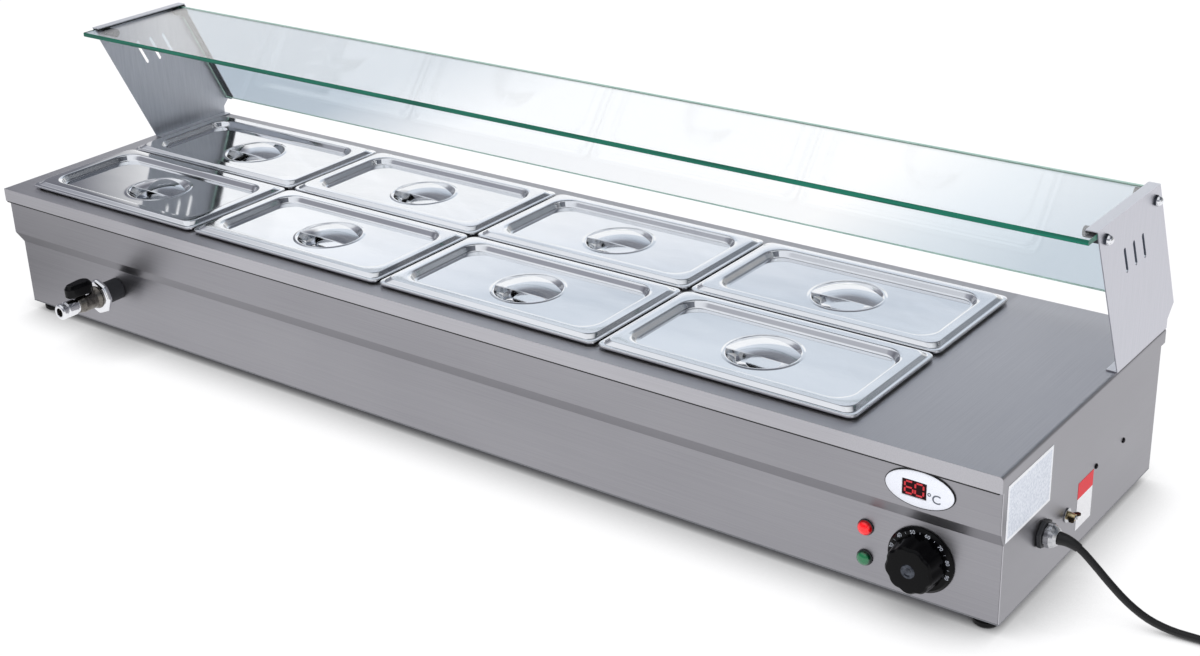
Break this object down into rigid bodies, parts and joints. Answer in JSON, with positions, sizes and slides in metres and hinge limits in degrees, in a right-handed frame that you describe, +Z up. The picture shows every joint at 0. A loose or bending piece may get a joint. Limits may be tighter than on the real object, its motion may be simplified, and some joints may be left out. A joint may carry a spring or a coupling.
{
  "type": "food warmer",
  "caption": "Electric bain-marie food warmer: lidded steel pans hang in a heated water bath under a glass guard, with dial, lamps, drain tap and mains lead.",
  "frame": {"origin": "middle of the warmer's footprint box, on the surface that its feet stand on; the mains lead is left out of that box", "axes": "+X along the length to the control end, +Y to the back, +Z up"},
  "size_m": [1.8818, 0.516, 0.376],
  "materials": {
    "housing_steel": "brushed along its length",
    "inner_steel": "mill finish",
    "divider_steel": "satin",
    "pan_steel": "polished",
    "lid_steel": "mirror polished",
    "guard_steel": "satin",
    "pane_glass": "clear float glass with green edges",
    "seal_rubber": "matt",
    "foot_rubber": "matt",
    "bright_chrome": "bright",
    "element_sheath": "dark oxide",
    "knob_plastic": "gloss black with pale numbers",
    "lever_plastic": "gloss black",
    "dark_plastic": "matt dark grey",
    "red_lens": "clear red",
    "green_lens": "clear green",
    "bezel_plastic": "white",
    "window_plastic": "dark red, with lit digits",
    "nickel_metal": "nickel plated",
    "wing_brass": "satin",
    "lead_rubber": "matt black sheath"
  },
  "bodies": {
    "root": {"deck": "housing_steel", "front_panel": "housing_steel", "left_panel": "housing_steel", "back_panel": "housing_steel", "base_plate": "inner_steel", "water_tank": "inner_steel", "long_divider": "divider_steel", "cross_divider_1": "divider_steel", "cross_divider_2": "divider_steel", "cross_divider_3": "divider_steel", "guard_plate_left": "guard_steel", "guard_plate_right": "guard_steel", "glass_top": "pane_glass", "glass_back": "pane_glass", "seal_left": "seal_rubber", "seal_right": "seal_rubber", "foot_front_left": "foot_rubber", "foot_front_right": "foot_rubber", "foot_back_left": "foot_rubber", "foot_back_right": "foot_rubber", "guard_bolt_front_left": "bright_chrome", "guard_bolt_front_right": "bright_chrome", "guard_bolt_back_left": "bright_chrome", "guard_bolt_back_right": "bright_chrome", "tap_ring": "bright_chrome", "tap_body": "bright_chrome", "heating_element": "element_sheath", "thermostat_body": "dark_plastic", "tap_sleeve": "dark_plastic", "gland_flange": "dark_plastic", "red_lamp": "red_lens", "green_lamp": "green_lens", "display_bezel": "bezel_plastic", "display_window": "window_plastic", "tap_pipe": "nickel_metal", "gland_body": "nickel_metal", "earth_bolt": "nickel_metal", "earth_nut": "wing_brass", "power_cord": "lead_rubber", "cord_coil": "lead_rubber", "plug": "lead_rubber"},
    "pan_1": {"pan_1": "pan_steel"},
    "lid_1": {"lid_1": "lid_steel"},
    "pan_2": {"pan_2": "pan_steel"},
    "lid_2": {"lid_2": "lid_steel"},
    "pan_3": {"pan_3": "pan_steel"},
    "lid_3": {"lid_3": "lid_steel"},
    "pan_4": {"pan_4": "pan_steel"},
    "lid_4": {"lid_4": "lid_steel"},
    "pan_5": {"pan_5": "pan_steel"},
    "lid_5": {"lid_5": "lid_steel"},
    "pan_6": {"pan_6": "pan_steel"},
    "lid_6": {"lid_6": "lid_steel"},
    "pan_7": {"pan_7": "pan_steel"},
    "lid_7": {"lid_7": "lid_steel"},
    "pan_8": {"pan_8": "pan_steel"},
    "lid_8": {"lid_8": "lid_steel"},
    "dial": {"thermostat_knob": "knob_plastic", "knob_cap": "bright_chrome"},
    "tap_lever": {"tap_lever": "lever_plastic"}
  },
  "joints": [
    {"name": "pan_1_lift", "type": "slide", "parent": "root", "child": "pan_1", "axis": [0, 0, 1], "range_m": [0, 0.105]},
    {"name": "lid_1_lift", "type": "slide", "parent": "pan_1", "child": "lid_1", "axis": [0, 0, 1], "range_m": [0, 0.03]},
    {"name": "pan_2_lift", "type": "slide", "parent": "root", "child": "pan_2", "axis": [0, 0, 1], "range_m": [0, 0.105]},
    {"name": "lid_2_lift", "type": "slide", "parent": "pan_2", "child": "lid_2", "axis": [0, 0, 1], "range_m": [0, 0.03]},
    {"name": "pan_3_lift", "type": "slide", "parent": "root", "child": "pan_3", "axis": [0, 0, 1], "range_m": [0, 0.105]},
    {"name": "lid_3_lift", "type": "slide", "parent": "pan_3", "child": "lid_3", "axis": [0, 0, 1], "range_m": [0, 0.03]},
    {"name": "pan_4_lift", "type": "slide", "parent": "root", "child": "pan_4", "axis": [0, 0, 1], "range_m": [0, 0.105]},
    {"name": "lid_4_lift", "type": "slide", "parent": "pan_4", "child": "lid_4", "axis": [0, 0, 1], "range_m": [0, 0.03]},
    {"name": "pan_5_lift", "type": "slide", "parent": "root", "child": "pan_5", "axis": [0, 0, 1], "range_m": [0, 0.045]},
    {"name": "lid_5_lift", "type": "slide", "parent": "pan_5", "child": "lid_5", "axis": [0, 0, 1], "range_m": [0, 0.03]},
    {"name": "pan_6_lift", "type": "slide", "parent": "root", "child": "pan_6", "axis": [0, 0, 1], "range_m": [0, 0.045]},
    {"name": "lid_6_lift", "type": "slide", "parent": "pan_6", "child": "lid_6", "axis": [0, 0, 1], "range_m": [0, 0.03]},
    {"name": "pan_7_lift", "type": "slide", "parent": "root", "child": "pan_7", "axis": [0, 0, 1], "range_m": [0, 0.045]},
    {"name": "lid_7_lift", "type": "slide", "parent": "pan_7", "child": "lid_7", "axis": [0, 0, 1], "range_m": [0, 0.03]},
    {"name": "pan_8_lift", "type": "slide", "parent": "root", "child": "pan_8", "axis": [0, 0, 1], "range_m": [0, 0.045]},
    {"name": "lid_8_lift", "type": "slide", "parent": "pan_8", "child": "lid_8", "axis": [0, 0, 1], "range_m": [0, 0.03]},
    {"name": "dial_turn", "type": "hinge", "parent": "root", "child": "dial", "pos_m": [0.66956, -0.16905, 0.061], "axis": [0, 1, 0], "range_deg": [0, 270]},
    {"name": "tap_lever_turn", "type": "hinge", "parent": "root", "child": "tap_lever", "pos_m": [-0.56544, -0.21295, 0.0915], "axis": [0, 0, 1], "range_deg": [0, 90]}
  ]
}
